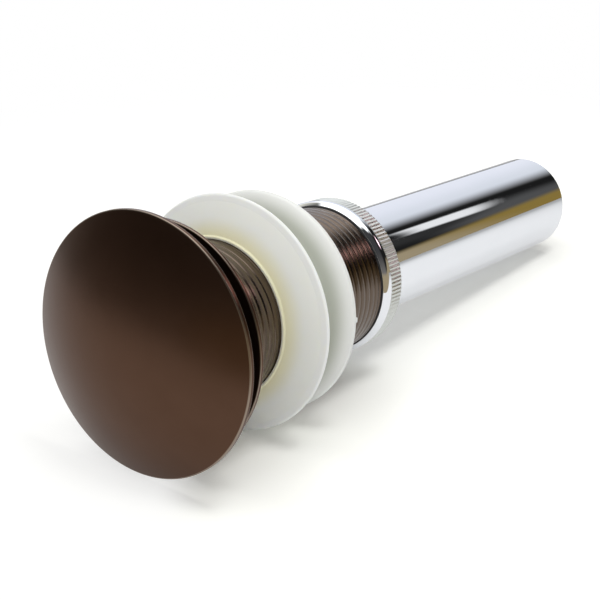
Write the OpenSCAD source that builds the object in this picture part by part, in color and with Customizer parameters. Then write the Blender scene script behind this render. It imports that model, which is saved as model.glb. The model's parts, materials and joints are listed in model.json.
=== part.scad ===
// Pop up basin waste that opens and closes at a press of its cap.
// The axis is Z and points up out of the basin. z = 0 is the underside of the flange, where it rests
// on the basin, so what hangs below has negative z. The stopper is drawn popped up, in millimetres.

/* [Stopper] */
// Diameter of the domed cap
cap_d = 68.2; // [66:0.2:72]
// Height of the dome above its rim
cap_rise = 9; // [7:0.5:11]
// Thickness of the cap
cap_wall = 1.4; // [1:0.1:1.8]
// Height of the upright rim round the cap
rim_h = 1.3; // [0.8:0.1:1.8]
// Width of that rim
rim_w = 1.6; // [1.2:0.1:2.2]
// Height of the top of the rim above the basin seat, popped up
cap_lift = 9.3; // [9:0.1:10]
// How far the stopper goes down to close
travel = 6; // [4:0.5:6]

/* [Drain body] */
// Diameter of the flange
flange_d = 61.4; // [58:0.2:63]
// Thickness of the flange at the top of its dish
flange_t = 2.2; // [2:0.1:2.4]
// Thickness of the flange at its edge
flange_edge = 1.1; // [0.8:0.1:1.5]
// Outside diameter of the threaded neck
neck_d = 41.9; // [41.4:0.1:42.2]
// Length of the neck below the basin seat
neck_l = 67; // [62:1:75]
// Diameter of the waterway
waterway_d = 34.8; // [34:0.2:35.2]
// Number of arms that carry the stem
arms = 4; // [3:1:6]

/* [Gasket and back nut] */
// Diameter of the gasket
gasket_d = 64.4; // [62:0.2:68]
// Depth of the gasket's front edge below the basin seat
gasket_depth = 20; // [12:0.5:22]
// Diameter of the back nut
nut_d = 61.0; // [57:0.2:64]
// Height of the back nut
nut_h = 11.4; // [11:0.1:15]
// Number of ribs inside the back nut
nut_ribs = 8; // [6:1:12]

/* [Tail] */
// Outside diameter of the tail pipe
tail_d = 31.75; // [31.5:0.05:32]
// Wall of the tail pipe
tail_wall = 0.975; // [0.8:0.025:1]
// Depth of the tail pipe's end below the basin seat
tail_depth = 193.5; // [150:0.5:230]
// Diameter of the knurled collar
collar_d = 44.8; // [44:0.2:47]
// Height of the knurled collar
collar_h = 7.8; // [7:0.2:12]

/* [Click mechanism] */
// Diameter of the stem's spindle
spindle_d = 10.4; // [10:0.1:10.6]
// Turn of the latch ring for one press, in degrees
latch_step = 30; // [30:15:45]
// Turns of the return spring
spring_turns = 13; // [9:1:15]
// Wire diameter of the return spring
wire_d = 0.84; // [0.7:0.02:0.9]

/* [Hidden] */
$fn = 96;

bronze = "#4b342a";
brass = "#c8a24c";
steel = "#b9bcc0";
chrome = "#dfe3ea";
rubber = "#1c1c1e";
silicone = "#dfe0d6";
white_plastic = "#f1f1ec";
acetal = "#e6e2d4";
fibre = "#8a3b2e";

// Running gap of pieces that slide or turn on each other, and a cut's reach past a face
gap = 0.15;
past = 1;

cap_r = cap_d / 2;
flange_r = flange_d / 2;
neck_r = neck_d / 2;
waterway_r = waterway_d / 2;
gasket_r = gasket_d / 2;
nut_r = nut_d / 2;
tail_r = tail_d / 2;
collar_r = collar_d / 2;
spindle_r = spindle_d / 2;

// The dome is part of a ball through the rim and the crown
dome_r = (cap_r * cap_r + cap_rise * cap_rise) / (2 * cap_rise);
dome_z = cap_lift + cap_rise - dome_r;

// Dished seat that the rubber closes on: its outer edge, its inner edge and the mouth of the waterway
dish_r = flange_r - 3.6;
seat_r = waterway_r + 2.4;
seat_z = 0.9;
mouth_z = -1.5;

// Stopper heights, counted down from the plate that carries the seal
plate_z = cap_lift + 0.7;
plate_t = 1.2;
plate_r = 22.5;
stud_r = 4;
stud_l = 4.5;
boss_r = 6.5;
skirt_r = 16.8;
skirt_t = 1.3;
hook_w = 0.6;
hook_z = plate_z - 3;
sleeve_r = 8.6;
sleeve_l = 15;
roof_t = 2;
ring_room_r = 7;
ring_room_l = 4.8;
clip_z = plate_z - sleeve_l + 1.15;
clip_t = 0.8;
clip_groove = 0.4;
thrust_z = plate_z - roof_t - 0.9;
thrust_t = 0.8;
pin_r = 0.7;
pin_z = plate_z - sleeve_l + ring_room_l - 1.4;
pin_tip = spindle_r - 0.75;
ring_h = 2.4;

// Stem heights, set so that the sleeve clears the hexagon when it is down
spindle_top = thrust_z - travel - 0.3;
hex_top = plate_z - sleeve_l - travel - 1;
hex_h = 3.5;
hex_af = 15;
fibre_t = 0.5;
boss_top = hex_top - hex_h - fibre_t;
boss_h = 14;
stem_boss_r = 9;
shank_r = 5;
shank_l = 8;
washer_t = 1.2;
stem_nut_h = 5;
stem_nut_af = 16;
spring_bore_r = 3.3;
spring_floor = hex_top - 12;
spring_r = 2.6;
wire_r = wire_d / 2;
track_r = pin_r + 0.25;
track_floor = pin_tip - 0.25;
arm_w = 3;
arm_h = 10;

// Neck socket, tail and collar
socket_r = waterway_r + 0.6;
socket_l = 11;
seal_t = 1;
seal_r = neck_r + 0.6;
lip_h = 1.7;
collar_top = -neck_l - seal_t;
collar_end = collar_top - collar_h;
spigot_l = 10.5;
tail_in_r = tail_r - tail_wall;
tail_spigot_r = tail_r - 0.375;

// Gasket and nut heights
gasket_z = -gasket_depth;
gasket_end = gasket_z - 8.2;
nut_z = gasket_end - 0.3;
nut_end = nut_z - nut_h;
nut_front_r = 22.4;
nut_hub_r = 24;
nut_wall = 2.4;
nut_lip = 1;
nut_sleeve = 5.2;
nut_recess = 1.5;

// Solid of revolution about Z from an outline of [radius, height] points
module revolve(outline) {
    rotate_extrude() polygon(outline);
}

// Round bar about Z between two heights
module bar(r, z0, z1) {
    translate([0, 0, z0]) cylinder(r = r, h = z1 - z0);
}

// Round tube about Z between two heights
module tube(r_in, r_out, z0, z1) {
    difference() {
        bar(r_out, z0, z1);
        bar(r_in, z0 - past, z1 + past);
    }
}

// Hexagon bar about Z, by its width across the flats
module hexagon(across_flats, z0, z1) {
    translate([0, 0, z0]) cylinder(d = across_flats / cos(30), h = z1 - z0, $fn = 6);
}

// Round bar that points away from the axis at an angle and a height
module spoke(r, r0, r1, angle, z) {
    rotate([0, 0, angle]) translate([r0, 0, z]) rotate([0, 90, 0]) cylinder(r = r, h = r1 - r0);
}

// Everything inside the ball of the dome's inner face
module dome_hollow() {
    translate([0, 0, dome_z]) sphere(r = dome_r - cap_wall, $fn = 180);
}

// Flange, conical seat and threaded neck, with the arms and boss that hold the stem
module drain_body() {
    color(bronze) difference() {
        union() {
            neck_and_flange();
            bar(stem_boss_r, boss_top - boss_h, boss_top);
            for (i = [0 : arms - 1]) rotate([0, 0, 45 + i * 360 / arms]) spider_arm();
        }
        bar(shank_r + gap, boss_top - boss_h - past, boss_top + past);
    }
}

// Flange and neck as one turned shell
module neck_and_flange() {
    bevel = 0.2;
    revolve([
        [seat_r, seat_z],
        [dish_r, flange_t],
        [flange_r - bevel, flange_edge],
        [flange_r, flange_edge - bevel],
        [flange_r, bevel],
        [flange_r - bevel, 0],
        [neck_r, 0],
        [neck_r, 0.8 - neck_l],
        [neck_r - 0.8, -neck_l],
        [socket_r, -neck_l],
        [socket_r, socket_l - neck_l],
        [waterway_r, socket_l - neck_l],
        [waterway_r, mouth_z]
    ]);
}

// One arm from the middle of the boss into the wall of the waterway
module spider_arm() {
    translate([0, -arm_w / 2, boss_top - boss_h / 2 - arm_h / 2]) cube([waterway_r + 0.5, arm_w, arm_h]);
}

// Stem with its shank, hexagon and spindle, bored for the spring, with the latch track round it
module click_stem() {
    tip = 0.5;
    shank_end = boss_top - boss_h - shank_l;
    color(brass) difference() {
        union() {
            bar(shank_r, shank_end, hex_top - hex_h);
            hexagon(hex_af, hex_top - hex_h, hex_top);
            bar(spindle_r, hex_top, spindle_top - tip);
            translate([0, 0, spindle_top - tip]) cylinder(r1 = spindle_r, r2 = spindle_r - tip, h = tip);
        }
        bar(spring_bore_r, spring_floor, spindle_top + past);
        latch_track();
    }
}

// Zigzag groove in which the pin runs: down one step, up the next
module latch_track() {
    for (a = [0 : 2 * latch_step : 359]) {
        track_leg(a + latch_step / 2, 1);
        track_leg(a + 1.5 * latch_step, -1);
        spoke(track_r, track_floor, spindle_r + past, a, pin_z);
        spoke(track_r, track_floor, spindle_r + past, a + latch_step, pin_z - travel);
    }
}

// One straight leg of the track, centred at an angle and leaning one way or the other
module track_leg(angle, side) {
    across = 2 * spindle_r * sin(latch_step / 2);
    lean = atan(across / travel);
    length = sqrt(across * across + travel * travel);
    depth = spindle_r + past - track_floor;
    rotate([0, 0, angle])
        translate([track_floor, 0, pin_z - travel / 2])
            rotate([side * lean, 0, 0])
                translate([0, -track_r, -length / 2])
                    cube([depth, 2 * track_r, length]);
}

// Fibre washer under the stem's hexagon
module stem_gasket() {
    color(fibre) tube(shank_r + gap, stem_boss_r - 0.3, boss_top, boss_top + fibre_t);
}

// Plain washer under the boss
module stem_washer() {
    under = boss_top - boss_h;
    color(steel) tube(shank_r + gap, stem_boss_r - 0.5, under - washer_t, under);
}

// Hexagon nut on the stem's shank
module stem_nut() {
    top = boss_top - boss_h - washer_t;
    color(brass) difference() {
        hexagon(stem_nut_af, top - stem_nut_h, top);
        bar(shank_r, top - stem_nut_h - past, top + past);
    }
}

// Height of the spring's wire above its first ring after some turns, with closed end turns
function coil_rise(turn, rise, end_pitch) =
    turn < 1 ? turn * end_pitch :
    turn > spring_turns - 1 ? rise - (spring_turns - turn) * end_pitch :
    end_pitch + (turn - 1) * (rise - 2 * end_pitch) / (spring_turns - 2);

// Coil spring as one round wire carried along its helix
module return_spring() {
    sides = 8;
    steps = 16;
    last = spring_turns * steps;
    rise = thrust_z - spring_floor - wire_d - 0.05;
    end_pitch = wire_d + 0.06;
    points = [
        for (i = [0 : last], j = [0 : sides - 1])
            let (
                turn = i / steps,
                side = 360 * j / sides,
                r = spring_r + wire_r * cos(side),
                z = spring_floor + wire_r + coil_rise(turn, rise, end_pitch) + wire_r * sin(side)
            )
            [r * cos(360 * turn), r * sin(360 * turn), z]
    ];
    walls = [
        for (i = [0 : last - 1], j = [0 : sides - 1])
            let (k = (j + 1) % sides)
            [i * sides + j, (i + 1) * sides + j, (i + 1) * sides + k, i * sides + k]
    ];
    first_end = [for (j = [0 : sides - 1]) j];
    last_end = [for (j = [sides - 1 : -1 : 0]) last * sides + j];
    color(steel) polyhedron(points, concat(walls, [first_end, last_end]));
}

// Washer between the spring and the roof of the sleeve
module thrust_washer() {
    color(steel) tube(1.6, spindle_r - 0.3, thrust_z, thrust_z + thrust_t);
}

// Domed cap with an upright rim
module dome_cap() {
    rim_z = cap_lift - rim_h;
    color(bronze) difference() {
        intersection() {
            translate([0, 0, dome_z]) sphere(r = dome_r, $fn = 180);
            bar(cap_r, rim_z, cap_lift + cap_rise + past);
        }
        intersection() {
            dome_hollow();
            bar(cap_r - rim_w, rim_z - past, cap_lift + cap_rise + past);
        }
    }
}

// Threaded boss under the crown of the cap
module cap_boss() {
    foot = plate_z + plate_t;
    color(brass) difference() {
        intersection() {
            bar(boss_r, foot, cap_lift + cap_rise);
            dome_hollow();
        }
        bar(stud_r + 0.05, foot - past, foot + stud_l - plate_t + 0.3);
    }
}

// Plate and hooked skirt that hold the rubber
module seal_carrier() {
    color(brass) revolve([
        [stud_r + 0.05, plate_z],
        [skirt_r - skirt_t, plate_z],
        [skirt_r - skirt_t, hook_z],
        [skirt_r + hook_w, hook_z],
        [skirt_r + hook_w, hook_z + hook_w],
        [skirt_r, hook_z + hook_w],
        [skirt_r, plate_z],
        [plate_r, plate_z],
        [plate_r, plate_z + plate_t],
        [stud_r + 0.05, plate_z + plate_t]
    ]);
}

// Rubber ring that closes on the seat
module cap_seal() {
    low = hook_z + hook_w + 0.05;
    lip_r = plate_r + 1.4;
    color(rubber) revolve([
        [skirt_r + 0.05, low],
        [lip_r - 2.4, low],
        [lip_r, low + 0.5],
        [lip_r, plate_z - 0.05],
        [skirt_r + 0.05, plate_z - 0.05]
    ]);
}

// Sleeve that slides on the spindle, with the stud that carries the cap
module push_sleeve() {
    low = plate_z - sleeve_l;
    color(brass) difference() {
        union() {
            bar(sleeve_r, low, plate_z);
            bar(stud_r, plate_z, plate_z + stud_l);
        }
        bar(spindle_r + gap, low - past, plate_z - roof_t);
        bar(ring_room_r, low - past, low + ring_room_l);
        bar(ring_room_r + clip_groove, clip_z - 0.05, clip_z + clip_t + 0.05);
    }
}

// Open circlip in the sleeve's groove
module latch_retainer() {
    opening = 3;
    color(steel) difference() {
        tube(spindle_r + 0.7, ring_room_r + clip_groove - 0.05, clip_z, clip_z + clip_t);
        translate([0, -opening / 2, clip_z - past]) cube([ring_room_r + past, opening, clip_t + 2 * past]);
    }
}

// Ring that turns in the sleeve as its pin runs in the track
module latch_ring() {
    color(acetal) difference() {
        tube(spindle_r + 0.2, ring_room_r - gap, pin_z - ring_h / 2, pin_z + ring_h / 2);
        spoke(pin_r, spindle_r - past, ring_room_r + past, 0, pin_z);
    }
}

// Pin of the latch ring
module latch_pin() {
    color(steel) spoke(pin_r, pin_tip, ring_room_r - 0.4, 0, pin_z);
}

// Silicone gasket: raised to a bead at its bore, thin at its rolled outer edge
module basin_gasket() {
    bore = neck_r + gap;
    bead = 0.6;
    edge_z = gasket_z - 5.4;
    color(silicone) revolve([
        [bore, gasket_end],
        [gasket_r - 5.6, gasket_end],
        [gasket_r - 1, edge_z - 0.8],
        [gasket_r, edge_z],
        [gasket_r - 0.4, edge_z + 0.6],
        [gasket_r - 2, edge_z + 1.1],
        [bore + 1.5 * bead, gasket_z - bead],
        [bore + bead, gasket_z],
        [bore, gasket_z]
    ]);
}

// Back nut: a sleeve that flares out to its rim, with a recess and ribs behind
module back_nut() {
    bore = neck_r + gap;
    flare_h = nut_h - nut_sleeve - nut_lip;
    flare_w = nut_r - nut_front_r;
    steps = 14;
    flare = [
        for (i = [0 : steps])
            let (t = i / steps)
            [nut_front_r + flare_w * t * t * (3 - 2 * t), nut_z - nut_sleeve - flare_h * t]
    ];
    color(white_plastic) {
        difference() {
            revolve(concat([[bore, nut_z], [nut_front_r, nut_z]], flare, [[nut_r, nut_end], [bore, nut_end]]));
            tube(nut_hub_r, nut_r - nut_wall, nut_end - past, nut_end + nut_recess);
        }
        for (i = [0 : nut_ribs - 1]) rotate([0, 0, i * 360 / nut_ribs]) nut_rib();
    }
}

// One rib across the recess of the back nut
module nut_rib() {
    width = 1.6;
    low = nut_end + 0.4;
    high = nut_end + nut_recess + 0.3;
    translate([nut_hub_r - 0.5, -width / 2, low]) cube([nut_r - nut_wall - nut_hub_r + 0.8, width, high - low]);
}

// Flat rubber ring between the neck and the collar
module tail_seal() {
    color(rubber) tube(socket_r + 0.1, seal_r, collar_top, -neck_l);
}

// Collar with its spigot, which screws into the neck and holds the tail pipe
module tail_ferrule() {
    color(chrome) revolve([
        [tail_spigot_r + 0.05, collar_end],
        [collar_r - 0.5, collar_end],
        [collar_r - 0.1, collar_end + 0.4],
        [collar_r - 0.1, collar_top - lip_h - 0.2],
        [collar_r, collar_top - lip_h],
        [collar_r, collar_top - 0.7],
        [collar_r - 0.2, collar_top - 0.2],
        [collar_r - 0.7, collar_top],
        [socket_r - 0.1, collar_top],
        [socket_r - 0.1, collar_top + spigot_l - 0.5],
        [socket_r - 0.6, collar_top + spigot_l],
        [tail_spigot_r + 0.05, collar_top + spigot_l]
    ]);
}

// Tail pipe with its upper end reduced to fit the collar
module tail_pipe() {
    edge = 0.2;
    color(chrome) revolve([
        [tail_in_r, -tail_depth],
        [tail_r - edge, -tail_depth],
        [tail_r, edge - tail_depth],
        [tail_r, collar_end],
        [tail_spigot_r, collar_end],
        [tail_spigot_r, collar_top + spigot_l - 1],
        [tail_in_r, collar_top + spigot_l - 1]
    ]);
}

drain_body();
click_stem();
stem_gasket();
stem_washer();
stem_nut();
return_spring();
thrust_washer();
dome_cap();
cap_boss();
seal_carrier();
cap_seal();
push_sleeve();
latch_retainer();
latch_ring();
latch_pin();
basin_gasket();
back_nut();
tail_seal();
tail_ferrule();
tail_pipe();
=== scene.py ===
"""Press-to-open basin waste: turned, threaded and knurled surfaces with their finishes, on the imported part.

Shapes are worked out in millimetres about the waste's own axis, Z, and go into the meshes in metres.
"""

import json
import math

import bpy
import numpy as np
from mathutils import Matrix, Vector


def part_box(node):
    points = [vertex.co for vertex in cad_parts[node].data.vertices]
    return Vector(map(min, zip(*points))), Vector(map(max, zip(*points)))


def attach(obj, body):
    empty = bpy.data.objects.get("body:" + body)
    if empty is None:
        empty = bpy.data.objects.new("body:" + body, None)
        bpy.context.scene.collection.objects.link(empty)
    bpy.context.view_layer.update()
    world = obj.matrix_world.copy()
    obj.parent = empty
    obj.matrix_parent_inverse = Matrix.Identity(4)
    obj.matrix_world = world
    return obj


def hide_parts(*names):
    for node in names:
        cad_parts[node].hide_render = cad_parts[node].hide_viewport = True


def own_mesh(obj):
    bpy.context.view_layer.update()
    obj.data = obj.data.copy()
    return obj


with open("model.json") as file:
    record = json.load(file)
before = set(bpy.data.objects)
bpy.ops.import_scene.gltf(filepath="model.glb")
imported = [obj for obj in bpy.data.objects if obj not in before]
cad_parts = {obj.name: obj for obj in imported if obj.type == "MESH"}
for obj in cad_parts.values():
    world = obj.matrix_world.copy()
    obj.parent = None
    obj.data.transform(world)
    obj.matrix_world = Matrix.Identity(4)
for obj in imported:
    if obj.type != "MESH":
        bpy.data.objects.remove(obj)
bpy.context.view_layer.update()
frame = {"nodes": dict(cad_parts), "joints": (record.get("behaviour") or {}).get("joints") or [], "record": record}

MM = 0.001
TINY = 1e-6
FULL_TURN = 2 * math.pi


# Driving sizes in millimetres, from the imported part

def reach(node):
    """Largest radius, lowest height and highest height of a CAD node."""
    low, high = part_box(node)
    return high.x / MM, low.z / MM, high.z / MM


cap_r, rim_low, crown = reach("dome_cap")
rim_top = rim_low + 1.3
flange_r, neck_end, flange_top = reach("drain_body")
flange_edge = 1.1
neck_r = 20.95
coil_r, coil_low, coil_top = reach("return_spring")
gasket_r, gasket_back, gasket_front = reach("basin_gasket")
gasket_edge = gasket_front - 5.4
nut_r, nut_back, nut_front = reach("back_nut")
_, seal_low, seal_high = reach("tail_seal")
seal_edge = neck_r + 0.15
collar_r, collar_back, spigot_top = reach("tail_ferrule")
lip_low = seal_low - 1.9
tail_r, tail_end, tail_top = reach("tail_pipe")


# Surfaces

def smooth_step(value, start, end):
    """0 before start, 1 after end, and 3t^2 - 2t^3 between them; end may lie below start."""
    t = np.clip((value - start) / (end - start), 0, 1)
    return t * t * (3 - 2 * t)


def arc(centre_z, radius, start, end, rows):
    """Outline rows, without fillets, along a circle about a point of the axis.

    Each row has the circle's radius times the cosine and the sine of an angle, which is in degrees.
    """
    angle = np.radians(np.linspace(start, end, rows))
    return np.stack([radius * np.cos(angle), centre_z + radius * np.sin(angle), np.zeros(rows)], axis=1)


def upright(radius, start, end, rows):
    """Outline rows, without fillets, at one radius and at even heights."""
    return np.stack([np.full(rows, radius), np.linspace(start, end, rows), np.zeros(rows)], axis=1)


def softened(corners, steps=5):
    """Closed outline from rows of radius, height and fillet.

    Each corner becomes an arc that touches both of its sides: the arc's points are blends, by sines, of the
    radii to its two touching points. One more point just outside each end of the arc keeps the sides flat.
    """
    rows = np.asarray(corners, dtype=float)
    corner, fillet = rows[:, :2], rows[:, 2:]
    back = np.roll(corner, 1, axis=0) - corner
    ahead = np.roll(corner, -1, axis=0) - corner
    back_length = np.linalg.norm(back, axis=1, keepdims=True)
    ahead_length = np.linalg.norm(ahead, axis=1, keepdims=True)
    back = back / back_length
    ahead = ahead / ahead_length
    half = np.arccos(np.clip((back * ahead).sum(axis=1, keepdims=True), -1, 1)) / 2
    longest = 0.45 * np.minimum(back_length, ahead_length)
    tangent = np.minimum(fillet / np.tan(half), longest)
    radius = tangent * np.tan(half)
    inward = back + ahead
    inward = inward / np.maximum(np.linalg.norm(inward, axis=1, keepdims=True), TINY)
    centre = corner + inward * radius / np.sin(half)
    first = (corner + back * tangent - centre)[:, None]
    last = (corner + ahead * tangent - centre)[:, None]
    turn = (math.pi - 2 * half)[:, None]
    share = np.linspace(0, 1, steps + 1)[None, :, None]
    blend = np.sin((1 - share) * turn) * first + np.sin(share * turn) * last
    bend = centre[:, None] + blend / np.maximum(np.sin(turn), TINY)

    def beside(side, length):
        """Point on a side, just outside the arc."""
        return (corner + side * (tangent + np.minimum(0.5 * fillet, 0.04 * length)))[:, None]

    before = beside(back, back_length)
    after = beside(ahead, ahead_length)
    outline = np.concatenate([before, bend, after], axis=1).reshape(-1, 2)
    apart = np.linalg.norm(outline - np.roll(outline, 1, axis=0), axis=1) > TINY
    return outline[apart]


def skin(grid, poles=None):
    """Points of a grid that wraps round along its columns, and blocks of faces over them.

    Each face takes four neighbours of the grid. The first and last rows run to one pole each where poles
    are given, and are otherwise joined to each other.
    """
    rows, columns = grid.shape[:2]
    points = grid.reshape(-1, 3)
    index = np.arange(rows * columns).reshape(rows, columns)
    start = index[:-1] if poles else index
    end = index[1:] if poles else np.roll(index, -1, axis=0)
    quads = np.stack([start, np.roll(start, -1, axis=1), np.roll(end, -1, axis=1), end], axis=2)
    blocks = [quads.reshape(-1, 4)]
    if poles:
        first, last = index[0], index[-1]
        first_pole = np.full(columns, len(points))
        blocks.append(np.stack([first_pole, np.roll(first, -1), first], axis=1))
        blocks.append(np.stack([last, np.roll(last, -1), first_pole + 1], axis=1))
        points = np.vstack([points, poles])
    return points, blocks


def turned(outline, segments, shape=None):
    """Solid of revolution: each outline point goes round the axis at its radius and height.

    shape, where one is given, changes radius and height as a function of angle, radius and height. An
    outline whose ends lie on the axis is closed by a pole at each end.
    """
    after = np.roll(outline, -1, axis=0)
    area = (outline[:, 0] * after[:, 1] - after[:, 0] * outline[:, 1]).sum()
    if area < 0:
        outline = outline[::-1]
    poles = None
    if max(outline[0, 0], outline[-1, 0]) < TINY:
        poles = [[0, 0, outline[0, 1]], [0, 0, outline[-1, 1]]]
        outline = outline[1:-1]
    angle = FULL_TURN * np.arange(segments) / segments
    radius = np.repeat(outline[:, :1], segments, axis=1)
    height = np.repeat(outline[:, 1:], segments, axis=1)
    if shape:
        radius, height = shape(angle, radius, height)
    return skin(np.stack([radius * np.cos(angle), radius * np.sin(angle), height], axis=2), poles)


def rounded_block(centre, half_sizes, turn, power=0.16):
    """Block with rounded edges, turned about the axis by an angle in degrees.

    It is a superellipsoid: each half size times a low power of the cosine and sine of a latitude and a
    longitude, with their signs kept.
    """
    rows = 33
    columns = 64

    def bent(wave):
        return np.sign(wave) * np.abs(wave) ** power

    latitude = np.linspace(-math.pi / 2, math.pi / 2, rows + 2)[1:-1, None]
    longitude = FULL_TURN * np.arange(columns) / columns
    across, along, up = half_sizes
    x = centre[0] + across * bent(np.cos(latitude)) * bent(np.cos(longitude))
    y = centre[1] + along * bent(np.cos(latitude)) * bent(np.sin(longitude))
    z = centre[2] + up * bent(np.sin(latitude)) * np.ones(columns)
    c, s = math.cos(math.radians(turn)), math.sin(math.radians(turn))
    grid = np.stack([c * x - s * y, s * x + c * y, z], axis=2)
    pole = [c * centre[0] - s * centre[1], s * centre[0] + c * centre[1]]
    return skin(grid, [[*pole, centre[2] - up], [*pole, centre[2] + up]])


def piece(name, skins, body, node, slot):
    """One smooth object made of closed skins, which rides on a body and stands for a CAD node."""
    points = MM * np.vstack([points for points, _ in skins])
    starts = np.cumsum([0] + [len(points) for points, _ in skins])
    faces = []
    for start, (_, blocks) in zip(starts, skins):
        for block in blocks:
            faces += (start + block).tolist()
    mesh = bpy.data.meshes.new(name)
    mesh.from_pydata(points.tolist(), [], faces)
    mesh.shade_smooth()
    mesh.materials.append(materials[slot])
    made = bpy.data.objects.new(name, mesh)
    bpy.context.scene.collection.objects.link(made)
    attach(made, body)
    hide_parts(node)
    return made


# Shader maths

class Socket:
    """An output in a node tree. Sums, products and powers of it become Math nodes."""

    def __init__(self, tree, output):
        self.tree = tree
        self.output = output

    def node(self, kind, settings=None, inputs=None, output=0):
        """Output of a new node: its settings are set first, then the values or links of its sockets."""
        made = self.tree.nodes.new(kind)
        for name, value in (settings or {}).items():
            setattr(made, name, value)
        for name, value in (inputs or {}).items():
            if isinstance(value, Socket):
                self.tree.links.new(value.output, made.inputs[name])
            else:
                made.inputs[name].default_value = value
        return Socket(self.tree, made.outputs[output])

    def maths(self, operation, first, second):
        """A Math node's result for two values."""
        return self.node("ShaderNodeMath", {"operation": operation}, {0: first, 1: second})

    def __add__(self, other):
        return self.maths("ADD", self, other)

    def __sub__(self, other):
        return self.maths("SUBTRACT", self, other)

    def __rsub__(self, other):
        return self.maths("SUBTRACT", other, self)

    def __mul__(self, other):
        return self.maths("MULTIPLY", self, other)

    def __pow__(self, other):
        return self.maths("POWER", self, other)

    __radd__ = __add__
    __rmul__ = __mul__

    def step(self, start, end):
        """0 before start and 1 after end, smoothly; end may lie below start."""
        limits = {"Value": self, "From Min": start, "From Max": end}
        return self.node("ShaderNodeMapRange", {"interpolation_type": "SMOOTHSTEP"}, limits)

    def near(self, centre, width):
        """1 at a value, falling to 0 at a distance from it."""
        gap = self - centre
        return (gap * gap).step(width * width, 0.2 * width * width)

    def mix(self, none, full):
        """Colour that goes from none to full as this value goes from 0 to 1."""
        return self.node("ShaderNodeMix", {"data_type": "RGBA"}, {0: self, 6: none, 7: full}, 2)

    def dot(self, direction):
        """This vector's share along a direction."""
        return self.node("ShaderNodeVectorMath", {"operation": "DOT_PRODUCT"}, {0: self, 1: direction}, 1)

    def distance(self, point):
        """This vector's distance from a point."""
        return self.node("ShaderNodeVectorMath", {"operation": "DISTANCE"}, {0: self, 1: point}, 1)

    def noise(self, scale, detail=2):
        """Noise over this vector, around 0.5."""
        return self.node("ShaderNodeTexNoise", None, {"Vector": self, "Scale": scale, "Detail": detail})

    def bump(self, height):
        """Normal that a height in metres gives."""
        return self.node("ShaderNodeBump", None, {"Height": height, "Distance": 1.0}, "Normal")

    def along_axis(self):
        """Distance from the axis and height in millimetres, from Object coordinates."""
        scaled = self.node("ShaderNodeVectorMath", {"operation": "SCALE"}, {0: self, "Scale": 1 / MM})
        parts = self.node("ShaderNodeSeparateXYZ", None, {0: scaled}).output.node.outputs
        x, y, z = (Socket(self.tree, part) for part in parts)
        return (x * x + y * y) ** 0.5, z


def grey(value):
    """A colour whose red, green and blue are one value."""
    return (value, value, value, 1)


def finish(name, constants):
    """A material with a Principled shader whose constant sockets are set, and its Object coordinates."""
    material = bpy.data.materials.new(name)
    material.use_nodes = True
    shader = material.node_tree.nodes["Principled BSDF"]
    for socket, value in constants.items():
        shader.inputs[socket].default_value = value
    coordinates = material.node_tree.nodes.new("ShaderNodeTexCoord")
    return material, Socket(material.node_tree, coordinates.outputs["Object"])


def feed(material, sockets):
    """Links what changes over the surface to the sockets of a material's shader."""
    shader = material.node_tree.nodes["Principled BSDF"]
    for name, value in sockets.items():
        material.node_tree.links.new(value.output, shader.inputs[name])


# Finishes

def satin_bronze():
    """Dark brown satin coat: slow mottling, fine orange peel, a lighter and greyer thread, and painted highlights
    on the edges of the cap's rim and of the flange.
    """
    material, place = finish("satin_bronze", {"Metallic": 1.0})
    radius, height = place.along_axis()
    mottle = place.noise(120, 3)
    grain = place.noise(2600)
    coat = mottle.mix((0.090, 0.048, 0.030, 1), (0.105, 0.057, 0.037, 1))
    # The neck's threaded wall gets a lighter, greyer colour and less roughness.
    wall = radius.step(neck_r - 1.5, neck_r - 1.2) * radius.step(neck_r + 0.4, neck_r + 0.1)
    thread = wall * height.step(-0.1, -0.6)
    coat = thread.mix(coat, (0.128, 0.096, 0.073, 1))
    # Painted highlights: the edges of the cap's rim and of the flange are painted a lighter bronze where light
    # catches them.
    rim = radius.near(cap_r, 0.4) * (height.near(rim_low, 0.25) + height.near(rim_top, 0.3))
    flange_highlight = radius.near(flange_r, 0.4) * (height.near(0, 0.25) + height.near(flange_edge, 0.3))
    feed(material, {
        "Base Color": (rim + flange_highlight).mix(coat, (0.30, 0.24, 0.19, 1)),
        "Roughness": 0.27 + 0.05 * mottle + 0.05 * grain - 0.1 * thread,
        "Normal": place.bump(grain * 1.5e-6),
    })
    return material


def mirror_chrome():
    """Bright plate with faint smears that only the gloss shows, duller on the collar's knurl, where painted shade
    of the valleys between its teeth also darkens its colour.
    """
    material, place = finish("mirror_chrome", {"Metallic": 1.0})
    radius, height = place.along_axis()
    smear = place.noise(60, 4)
    plate = smear.mix((0.82, 0.85, 0.88, 1), (0.88, 0.89, 0.92, 1))
    # Painted shade: the knurl's colour is darkened for the shade in the valleys between its teeth; it is also
    # rougher.
    knurl = radius.step(collar_r - 0.6, collar_r - 0.5) * height.step(lip_low - 0.1, lip_low - 0.4)
    feed(material, {
        "Base Color": knurl.mix(plate, (0.66, 0.68, 0.65, 1)),
        "Roughness": 0.02 + 0.05 * smear.step(0.5, 0.8) + 0.36 * knurl,
    })
    return material


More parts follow.
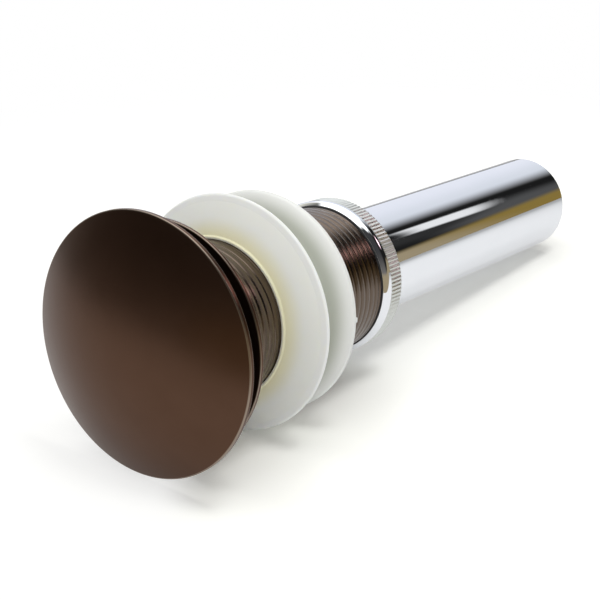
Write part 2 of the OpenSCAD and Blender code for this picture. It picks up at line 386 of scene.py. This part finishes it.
def milky_silicone():
    """Translucent off-white rubber with painted light: cream round the bore as a painted reflection of the bronze
    neck, a pale painted highlight along the bead, and a paler painted glow at the thin outer edge, where light
    shines through it.
    """
    material, place = finish("milky_silicone", {
        "Subsurface Weight": 0.25,
        "Subsurface Radius": (1.0, 0.9, 0.6),
        "Subsurface Scale": 0.003,
        "Specular IOR Level": 0.3,
    })
    radius, _ = place.along_axis()
    body = place.noise(90, 3).mix((0.83, 0.84, 0.79, 1), (0.87, 0.88, 0.83, 1))
    # Painted glow: the thin outer edge is painted paler, for light that shines through it.
    edge = radius.step(gasket_r - 2.4, gasket_r - 1.6)
    body = edge.mix(body, (0.87, 0.88, 0.85, 1))
    # Painted reflection: the bronze neck's warm reflection is painted in cream round the bore.
    cream = 0.85 * radius.step(neck_r + 6.0, neck_r + 0.5)
    body = cream.mix(body, (0.81, 0.76, 0.47, 1))
    # Painted highlight: the bead at the bore is painted as a pale cream line.
    bead = radius.step(neck_r + 0.6, neck_r + 0.45)
    feed(material, {
        "Base Color": bead.mix(body, (0.94, 0.90, 0.74, 1)),
        "Roughness": 0.42 + 0.1 * place.noise(800),
        "Normal": place.bump(place.noise(1500) * 2e-6),
    })
    return material


def white_plastic():
    """Moulded plastic: white with soft gloss and very fine grain, and painted shade that greys the nut towards its
    sleeve, in the corner behind the gasket.
    """
    material, place = finish("white_plastic", {
        "Subsurface Weight": 0.12,
        "Subsurface Radius": (1.0, 0.95, 0.85),
        "Subsurface Scale": 0.002,
        "Specular IOR Level": 0.4,
    })
    radius, _ = place.along_axis()
    rim = place.noise(70).mix((0.77, 0.78, 0.75, 1), (0.81, 0.815, 0.79, 1))
    # Painted shade: the nut is painted greyer towards its sleeve, where the gasket shades it.
    painted_shade = radius.step(nut_r - 0.6, nut_r - 5.0)
    feed(material, {
        "Base Color": painted_shade.mix(rim, (0.50, 0.52, 0.46, 1)),
        "Roughness": 0.34 + 0.1 * place.noise(900),
        "Normal": place.bump(place.noise(1800) * 1.5e-6),
    })
    return material


def black_rubber():
    """Moulded rubber: matt black with a dusty bloom."""
    material, place = finish("black_rubber", {})
    bloom = place.noise(350, 4)
    feed(material, {
        "Base Color": bloom.mix((0.018, 0.018, 0.019, 1), (0.04, 0.04, 0.042, 1)),
        "Roughness": 0.6 + 0.2 * bloom,
        "Normal": place.bump(place.noise(2200) * 4e-6),
    })
    return material


def turned_metal(name, dull, bright, gloss):
    """Metal off a lathe: rings of tool marks, as noise over distance from the axis and height alone."""
    material, place = finish(name, {"Metallic": 1.0})
    radius, height = place.along_axis()
    lathe = place.node("ShaderNodeCombineXYZ", None, {0: radius, 1: height})
    rings = lathe.noise(4.5, 3)
    stain = place.noise(160, 3)
    feed(material, {
        "Base Color": stain.mix(dull, bright),
        "Roughness": gloss + 0.12 * rings + 0.08 * stain,
        "Normal": place.bump(rings * 4e-6),
    })
    return material


def natural_acetal():
    """Unfilled engineering plastic: waxy, slightly cloudy cream."""
    material, place = finish("natural_acetal", {"Subsurface Weight": 0.1, "Subsurface Scale": 0.001})
    cloud = place.noise(500)
    feed(material, {
        "Base Color": cloud.mix((0.74, 0.71, 0.60, 1), (0.82, 0.79, 0.69, 1)),
        "Roughness": 0.45 + 0.1 * cloud,
    })
    return material


def red_fibre():
    """Vulcanised fibre: dull red, mottled by its paper fibres."""
    material, place = finish("red_fibre", {})
    fibres = place.noise(1400, 5)
    feed(material, {
        "Base Color": fibres.mix((0.26, 0.06, 0.045, 1), (0.40, 0.12, 0.085, 1)),
        "Roughness": 0.75 + 0.15 * fibres,
        "Normal": place.bump(fibres * 1.2e-5),
    })
    return material


materials = {
    "bronze": satin_bronze(),
    "brass": turned_metal("turned_brass", (0.55, 0.38, 0.15, 1), (0.68, 0.49, 0.21, 1), gloss=0.2),
    "steel": turned_metal("plain_steel", (0.42, 0.43, 0.44, 1), (0.54, 0.55, 0.57, 1), gloss=0.24),
    "chrome": mirror_chrome(),
    "silicone": milky_silicone(),
    "white_plastic": white_plastic(),
    "black_rubber": black_rubber(),
    "acetal": natural_acetal(),
    "fibre": red_fibre(),
}

for part in frame["record"]["subparts"]:
    cad_node = frame["nodes"][part["node"]]
    cad_node.data.materials.clear()
    cad_node.data.materials.append(materials[part["material_slot"]])


# Stopper

def domed_cap():
    """Ball-shaped cap over an upright rim, hollow below, its edges eased.

    The ball's radius is the sum of the squares of the cap's radius and its rise, over twice the rise.
    """
    rim_width = 1.6
    wall = 1.4
    ease = 0.3
    inner_ease = 0.2
    rise = crown - rim_top
    ball = (cap_r ** 2 + rise ** 2) / (2 * rise)
    ball_z = crown - ball
    inner_r = cap_r - rim_width
    edge = math.degrees(math.acos(cap_r / ball))
    inner_edge = math.degrees(math.acos(inner_r / (ball - wall)))
    under = arc(ball_z, ball - wall, 90, inner_edge, rows=40)
    under[-1, 2] = inner_ease
    rim = [[inner_r, rim_low, ease], [cap_r, rim_low, ease]]
    over = arc(ball_z, ball, edge, 90, rows=64)
    over[0, 2] = ease
    return turned(softened(np.vstack([under, rim, over])), segments=192)


piece("domed_cap", [domed_cap()], "stopper", "dome_cap", "bronze")


# Drain body

def threaded_neck():
    """Flange and neck as one turned shell, with a parallel pipe thread along the neck.

    Turns grow by one for each pitch of height and fall by one round the axis. Near each whole turn the
    thread dips the outer radius by its depth times a squared cosine, and it fades out at both ends.
    """
    pitch = 25.4 / 11
    depth = 0.11
    groove_half = 0.3
    thread_top = -1.2
    run_out = 1.5
    chamfer = 0.3
    seat_r, seat_z = 19.8, 0.9
    slope = 3.6
    bore_r, bore_top = 17.4, -1.5
    socket_r, socket_top = 18.0, neck_end + 11
    rows_per_turn = 16

    def thread(angle, radius, height):
        turns = height / pitch - angle / FULL_TURN
        share = np.minimum(np.abs(turns - np.round(turns)) / groove_half, 1)
        groove = np.cos(share * math.pi / 2) ** 2
        start = smooth_step(height, thread_top, thread_top - pitch)
        end = smooth_step(height, neck_end, neck_end + run_out)
        outside = radius > neck_r - TINY
        return radius - depth * groove * start * end * outside, height

    wall_end = neck_end + chamfer
    rows = int((thread_top - wall_end) / pitch * rows_per_turn)
    outline = softened(np.vstack([
        [[seat_r, seat_z, 0.4], [flange_r - slope, flange_top, 1.5], [flange_r, flange_edge, 0.25]],
        [[flange_r, 0, 0.25], [neck_r, 0, 0.3]],
        upright(neck_r, thread_top, wall_end, rows),
        [[neck_r - chamfer, neck_end, 0.1], [socket_r, neck_end, 0.1], [socket_r, socket_top, 0.1]],
        [[bore_r, socket_top, 0.1], [bore_r, bore_top, 0.5]],
    ]))
    return turned(outline, segments=160, shape=thread)


def stem_spider():
    """Boss for the stem, a turned ring, and four arms from it into the wall of the waterway."""
    boss_r = 9.0
    bore_r = 5.15
    boss_top = -16.0
    boss_low = -30.0
    arm_half = (4.6, 1.5, 5.0)
    arm_centre = (13.2, 0, (boss_top + boss_low) / 2)
    boss = softened([
        [bore_r, boss_low, 0.3],
        [boss_r, boss_low, 0.6],
        [boss_r, boss_top, 0.6],
        [bore_r, boss_top, 0.3],
    ])
    arms = [rounded_block(arm_centre, arm_half, turn) for turn in (45, 135, 225, 315)]
    return [turned(boss, segments=96)] + arms


piece("threaded_neck", [threaded_neck()], "waste", "drain_body", "bronze")
piece("stem_spider", stem_spider(), "waste", "drain_body", "bronze")


# Return spring

def coiled_spring():
    """Round wire carried along a helix whose end turns lie closed.

    The wire's middle goes round the axis once a turn. Its height grows by little more than the wire's
    thickness in the first and the last turn, and evenly between them.
    """
    turns = 13
    wire_r = 0.42
    gap = 0.06
    steps = 24
    sides = 12
    middle_r = coil_r - wire_r
    low, high = coil_low + wire_r, coil_top - wire_r
    closed = 2 * wire_r + gap
    turn = np.linspace(0, turns, turns * steps + 1)[:, None]
    middle_z = np.interp(turn, [0, 1, turns - 1, turns], [low, low + closed, high - closed, high])
    angle = FULL_TURN * turn
    side = FULL_TURN * np.arange(sides) / sides
    radius = middle_r + wire_r * np.cos(side)
    height = middle_z - wire_r * np.sin(side)
    grid = np.stack([radius * np.cos(angle), radius * np.sin(angle), height], axis=2)
    return skin(grid, [[middle_r, 0, low], [middle_r, 0, high]])


press = next(joint for joint in frame["joints"] if joint["name"] == "stopper_press")
travel = -press["range_m"][0] / MM
coil_length = coil_top - coil_low
spring = piece("coiled_spring", [coiled_spring()], "waste", "return_spring", "steel")
(coil_length - travel) / coil_length
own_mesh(spring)


# Gasket and back nut

def silicone_gasket():
    """Turned gasket that rises to a bead at its bore, thins to a rolled outer edge, and tapers behind."""
    bore_r = neck_r + 0.05
    bead = 0.6
    back_r = gasket_r - 5.6
    return turned(softened([
        [bore_r, gasket_back, 0.2],
        [back_r, gasket_back, 0.8],
        [gasket_r - 1.0, gasket_edge - 0.8, 0.5],
        [gasket_r, gasket_edge, 0.6],
        [gasket_r - 0.4, gasket_edge + 0.6, 0.9],
        [gasket_r - 2.0, gasket_edge + 1.1, 1.2],
        [bore_r + 1.5 * bead, gasket_front - bead, 0.2],
        [bore_r + bead, gasket_front, 0.25],
        [bore_r, gasket_front, 0.15],
    ]), segments=160)


def flared_nut():
    """Turned sleeve that flares to a rim, with a recess, ribs and a gate mark behind.

    Along the flare the radius grows by 3t^2 - 2t^3 as the height falls evenly.
    """
    bore_r = neck_r + 0.15
    sleeve_r, sleeve_low = 22.4, nut_front - 5.2
    hub_r = 24.0
    lip_top = nut_back + 1.0
    inner_r = nut_r - 2.4
    recess_z = nut_back + 1.5
    ribs = 8
    rib_start, rib_end = hub_r - 0.5, inner_r + 0.3
    rib_half = ((rib_end - rib_start) / 2, 0.8, 0.7)
    rib_centre = ((rib_start + rib_end) / 2, 0, nut_back + 1.1)
    gate_half = (0.45, 0.7, 0.4)
    gate_centre = (nut_r - 0.3, 0, nut_back)
    share = np.linspace(0, 1, 33)
    flare = np.stack([
        sleeve_r + (nut_r - sleeve_r) * smooth_step(share, 0, 1),
        sleeve_low + (lip_top - sleeve_low) * share,
        0 * share,
    ], axis=1)
    shell = softened(np.vstack([
        [[bore_r, nut_front, 0.3], [sleeve_r, nut_front, 0.3]],
        flare,
        [[nut_r, nut_back, 0.25], [inner_r, nut_back, 0.25], [inner_r, recess_z, 0.3]],
        [[hub_r, recess_z, 0.3], [hub_r, nut_back, 0.3], [bore_r, nut_back, 0.3]],
    ]))
    gate = rounded_block(gate_centre, gate_half, turn=184, power=0.4)
    spokes = [rounded_block(rib_centre, rib_half, turn=360 * i / ribs) for i in range(ribs)]
    return [turned(shell, segments=160), gate] + spokes


piece("silicone_gasket", [silicone_gasket()], "gasket", "basin_gasket", "silicone")
piece("flared_nut", flared_nut(), "nut", "back_nut", "white_plastic")


# Tail

def knurled_collar():
    """Collar with a tapered lip and a straight knurl: its band dips by half of 1 + cos(teeth * angle)."""
    teeth = 124
    columns_per_tooth = 8
    depth = 0.2
    spigot_r = 17.9
    bore_r = 15.55
    band_r = collar_r - 0.1
    band_start, band_end = collar_back + 0.45, lip_low - 0.2
    back_r = band_r - 0.4
    lip_top = seal_low + 0.8
    lip_r = seal_edge + 0.05

    def knurl(angle, radius, height):
        dip = (1 + np.cos(teeth * angle)) / 2
        front = smooth_step(height, lip_low, lip_low - 0.5)
        back = smooth_step(height, collar_back + 0.1, collar_back + 0.6)
        outside = radius > spigot_r
        return radius - depth * dip * front * back * outside, height

    outline = softened(np.vstack([
        [[bore_r, collar_back, 0.1], [back_r, collar_back, 0.1]],
        upright(band_r, band_start, band_end, rows=12),
        [[collar_r, lip_low, 0.1], [collar_r, seal_low - 0.3, 1.7]],
        [[lip_r + 0.2, lip_top, 0.2], [lip_r, lip_top, 0.1]],
        [[lip_r, seal_low, 0.05], [spigot_r, seal_low, 0.1]],
        [[spigot_r, spigot_top, 0.4], [bore_r, spigot_top, 0.1]],
    ]))
    return turned(outline, segments=teeth * columns_per_tooth, shape=knurl)


def tail_tube():
    """Turned tail pipe with a rolled end, its upper end reduced to fit the collar."""
    bore_r = 14.9
    spigot_r = tail_r - 0.375
    return turned(softened([
        [bore_r, tail_end, 0.3],
        [tail_r, tail_end, 0.35],
        [tail_r, collar_back, 0.1],
        [spigot_r, collar_back, 0.05],
        [spigot_r, tail_top, 0.1],
        [bore_r, tail_top, 0.1],
    ]), segments=192)


def neck_seal():
    """Flat turned rubber ring, held inside the collar's lip."""
    bore_r = 18.1
    return turned(softened([
        [bore_r, seal_low, 0.1],
        [seal_edge, seal_low, 0.1],
        [seal_edge, seal_high, 0.1],
        [bore_r, seal_high, 0.1],
    ]), segments=128)


piece("knurled_collar", [knurled_collar()], "waste", "tail_ferrule", "chrome")
piece("tail_tube", [tail_tube()], "waste", "tail_pipe", "chrome")
piece("neck_seal", [neck_seal()], "waste", "tail_seal", "black_rubber")


# Camera

camera_spot = Vector((-0.20955, -0.12061, 0.24388))
camera_aim = Vector((-0.00181, 0.00304, -0.05486))
camera_roll = math.radians(3.53)
camera_back = (camera_spot - camera_aim).normalized()
level_right = Vector((0, -1, 0)).cross(camera_back).normalized()
camera_right = Matrix.Rotation(camera_roll, 3, camera_back) @ level_right
camera_up = camera_back.cross(camera_right)

camera_data = bpy.data.cameras.new("product_camera")
camera_data.lens = 82.13
camera = bpy.data.objects.new("product_camera", camera_data)
camera_turn = Matrix((camera_right, camera_up, camera_back)).transposed()
camera.matrix_world = Matrix.Translation(camera_spot) @ camera_turn.to_4x4()
bpy.context.scene.collection.objects.link(camera)
bpy.context.scene.camera = camera


# Stage: the waste lies on its gasket and its tail, so the floor is the plane that touches both

rim_point = Vector((0, gasket_r * MM, gasket_edge * MM))
tail_point = Vector((0, tail_r * MM, tail_end * MM))
stage_up = Vector((1, 0, 0)).cross(rim_point - tail_point).normalized()
stage_right = (camera_right - camera_right.dot(stage_up) * stage_up).normalized()
stage_away = stage_up.cross(stage_right)
stage_middle = (rim_point + tail_point) / 2


def pale_paper():
    """Pale paper, overexposed a little, that fades to white, sooner on the left, and is clear from below."""
    material, place = finish("pale_paper", {
        "Roughness": 1.0,
        "Specular IOR Level": 0.0,
        "Emission Strength": 1.0,
    })
    tree = material.node_tree
    seen = place.node("ShaderNodeLightPath", output="Is Camera Ray")
    mirrored = place.node("ShaderNodeLightPath", output="Is Glossy Ray")
    below = place.node("ShaderNodeNewGeometry", output="Backfacing")
    near_left = stage_middle - 0.2 * stage_right - 0.1 * stage_away
    left_edge = stage_middle.dot(stage_right) - 0.05
    # Painted light: left of the waste the paper fades to white sooner, which pales the waste's shadow there.
    left = place.dot(stage_right).step(left_edge, left_edge - 0.016)
    blank = 1 - place.distance(stage_middle).step(0.30, 0.16) * (1 - 0.65 * left)
    sheet = place.noise(900, 3).mix(grey(0.86), grey(0.90))
    # Painted light: the paper glows a little to the camera, and in reflections it glows strongly near the waste,
    # which pales the shadows that the reflections show.
    glow = 0.02 * seen + 0.42 * mirrored * place.distance(near_left).step(0.60, 0.33)
    feed(material, {
        "Base Color": seen.mix(mirrored.mix(sheet, grey(0.52)), (1.2, 1.2, 1.15, 1)),
        "Emission Color": glow.mix(grey(0), grey(1)),
    })
    lit = Socket(tree, tree.nodes["Principled BSDF"].outputs[0])
    white = place.node("ShaderNodeEmission", None, {"Color": grey(1), "Strength": 1.0})
    clear = place.node("ShaderNodeBsdfTransparent")
    top = place.node("ShaderNodeMixShader", None, {0: seen * blank, 1: lit, 2: white})
    both = place.node("ShaderNodeMixShader", None, {0: below, 1: top, 2: clear})
    tree.links.new(both.output, tree.nodes["Material Output"].inputs["Surface"])
    return material


def paper_floor():
    """Large sheet on the floor's plane, whose near edge runs slantwise behind the camera's view."""
    corners = [(-1.5, -0.94), (0.55, 0.085), (0.55, 3.0), (-1.5, 3.0)]
    mesh = bpy.data.meshes.new("paper_floor")
    points = [stage_middle + u * stage_right + v * stage_away for u, v in corners]
    mesh.from_pydata(points, [], [(0, 1, 2, 3)])
    mesh.materials.append(pale_paper())
    floor = bpy.data.objects.new("paper_floor", mesh)
    bpy.context.scene.collection.objects.link(floor)


def studio_world():
    """Light tent for matt surfaces, and for glossy ones the room round it.

    Directions are shares along the stage's right, away and up. The room has a pale backdrop that ends at a
    bearing on the right, a bright slit and a lamp past it, a wooden table along the horizon and soft boxes
    overhead. Each of them is a mask and a colour, laid over those before it.
    """
    world = bpy.data.worlds.new("studio")
    world.use_nodes = True
    tree = world.node_tree
    ray = Socket(tree, tree.nodes.new("ShaderNodeTexCoord").outputs["Generated"])
    right = ray.dot(stage_right)
    away = ray.dot(stage_away)
    up = ray.dot(stage_up)
    tent = 0.5 * right.step(0, -1) + 0.3 * right.step(0, 1) + away.step(0, -1) + 0.2 * away.step(0, 1)

    def past(bearing):
        """Share to the right of a bearing, in degrees from straight away."""
        angle = math.radians(bearing)
        return right * math.cos(angle) - away * math.sin(angle)

    slant = up + 0.74 * past(54)
    haze = slant.step(0.29, 0.36).mix(grey(0.085), grey(0.03))
    unlit = past(40.5).step(0, 0.1) * past(120).step(0.3, -0.3)
    glow = past(54).step(-0.07, 0.07) * past(64).step(0.04, -0.04) * up.step(0.42, 0.36)
    lamp = past(59).step(-0.03, 0.04) * past(74).step(0.05, -0.05)
    lamp = lamp * up.step(0.36, 0.41) * up.step(0.54, 0.48)
    slit = past(50.3).step(-0.015, 0.02) * past(57.6).step(0.015, -0.015)
    slit = slit * slant.step(0.31, 0.345) * slant.step(0.41, 0.385)
    outside = past(39).step(-0.15, 0.11)
    table = outside * up.step(0.19, 0.09)
    wood = past(66).step(-0.04, 0.06).mix((0.26, 0.18, 0.046, 1), (0.36, 0.295, 0.187, 1))
    backdrop = (1 - outside) * past(-60).step(-0.1, 0.3)
    paper = past(33).step(-0.4, 0).mix((0.87, 0.89, 0.97, 1), (0.76, 0.79, 0.85, 1))
    paper = past(-15).step(-0.5, 0).mix((0.93, 0.91, 0.80, 1), paper)
    strip = past(-30).step(0, 0.1) * past(37).step(0.05, -0.05) * up.step(0.48, 0.6)
    far_box = up.step(0.72, 0.82) * away.step(-0.1, 0.2)
    top_box = up.step(0.86, 0.92)
    box_white = grey(2.0)
    studio = up.step(-0.2, 0.6).mix((0.28, 0.26, 0.24, 1), (0.05, 0.05, 0.052, 1))
    for mask, colour in (
        (unlit, grey(0.012)),
        (glow, haze),
        (lamp, (4.6, 3.2, 3.5, 1)),
        (slit, grey(0.9)),
        (table, wood),
        (backdrop, paper),
        (strip, box_white),
        (far_box, box_white),
        (top_box, box_white),
    ):
        studio = mask.mix(studio, colour)

    glossy = ray.node("ShaderNodeLightPath", output="Is Glossy Ray")
    seen = ray.node("ShaderNodeLightPath", output="Is Camera Ray")
    shown = seen.mix(glossy.mix(tent, studio), grey(1))
    tree.links.new(shown.output, tree.nodes["Background"].inputs["Color"])
    bpy.context.scene.world = world


def soft_box(name, right, away, up, size, power):
    """Square lamp at an offset from the middle of the floor, facing it, that only matt surfaces take up."""
    lamp = bpy.data.lights.new(name, "AREA")
    lamp.size = size
    lamp.energy = power
    box = bpy.data.objects.new(name, lamp)
    offset = right * stage_right + away * stage_away + up * stage_up
    aim = offset.to_track_quat("Z", "Y").to_matrix().to_4x4()
    box.matrix_world = Matrix.Translation(stage_middle + offset) @ aim
    box.visible_glossy = False
    bpy.context.scene.collection.objects.link(box)


paper_floor()
studio_world()
soft_box("overhead_box", right=0.0, away=0.0, up=0.8, size=0.8, power=2.9)
soft_box("front_box", right=0.18, away=-0.18, up=0.86, size=0.2, power=1.6)
soft_box("left_box", right=-0.35, away=0.0, up=0.8, size=0.25, power=0.6)

bpy.context.scene.view_settings.view_transform = "Standard"
